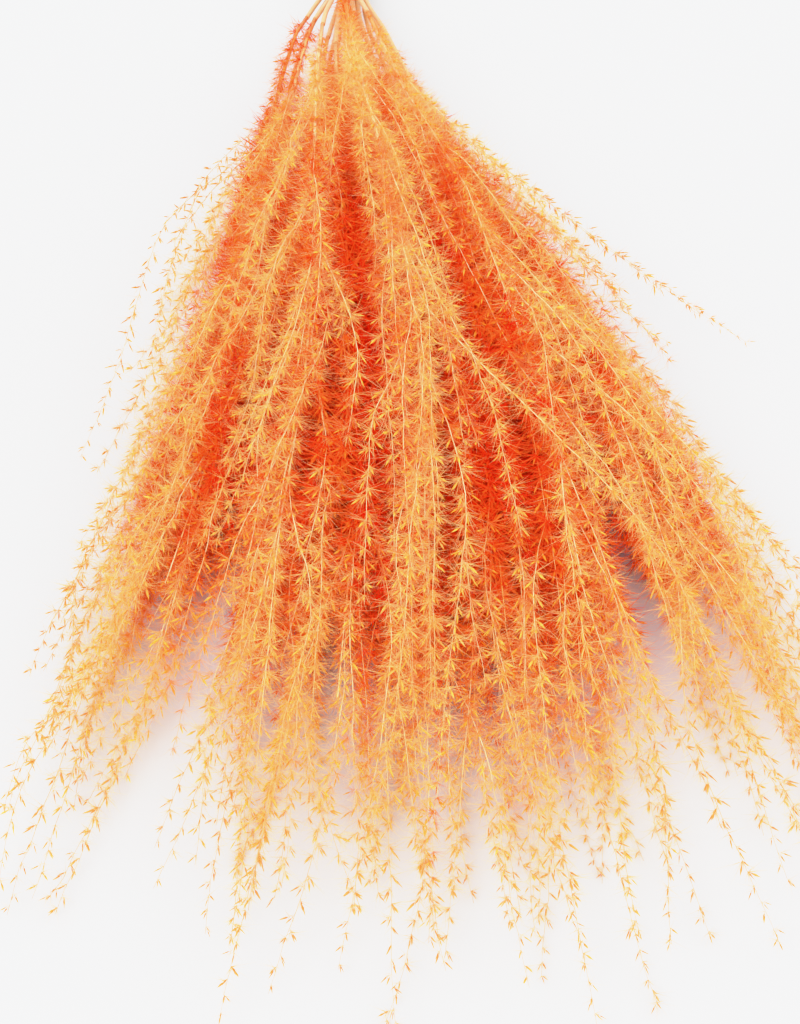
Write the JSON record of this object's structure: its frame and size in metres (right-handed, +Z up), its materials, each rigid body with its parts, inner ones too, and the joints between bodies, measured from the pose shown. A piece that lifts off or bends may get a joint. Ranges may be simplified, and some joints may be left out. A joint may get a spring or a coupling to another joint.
{
  "type": "bundle of pampas grass",
  "caption": "Tied bundle of dyed dried pampas grass lying on its side: thin straw stems, raffia tie, and a wide fan of soft hanging orange plumes.",
  "frame": {"origin": "centre of the bundle's bounding box in X and Y, on the surface that the bundle lies on", "axes": "+Z up from the surface, +Y along the bundle from the plumes' tips to the cut stem ends, +X to the right when looking along +Y"},
  "size_m": [0.3242, 0.732, 0.0934],
  "materials": {
    "plume": "dyed dry grass plume: soft matte fluff, pale cream to golden outside and saturated red-orange inside",
    "stem": "dry straw culm, smooth, satin, tinged orange by the dye",
    "raffia": "natural raffia strand, matte, fibrous"
  },
  "bodies": {
    "root": {"stem_01": "stem", "plume_01": "plume", "stem_02": "stem", "plume_02": "plume", "stem_03": "stem", "plume_03": "plume", "stem_04": "stem", "plume_04": "plume", "stem_05": "stem", "plume_05": "plume", "stem_06": "stem", "plume_06": "plume", "stem_07": "stem", "plume_07": "plume", "stem_08": "stem", "plume_08": "plume", "stem_09": "stem", "plume_09": "plume", "stem_10": "stem", "plume_10": "plume", "stem_11": "stem", "plume_11": "plume", "stem_12": "stem", "plume_12": "plume", "stem_13": "stem", "plume_13": "plume", "stem_14": "stem", "plume_14": "plume", "stem_15": "stem", "plume_15": "plume", "stem_16": "stem", "plume_16": "plume", "stem_17": "stem", "plume_17": "plume", "stem_18": "stem", "plume_18": "plume", "stem_19": "stem", "plume_19": "plume", "tie": "raffia"}
  },
  "joints": []
}
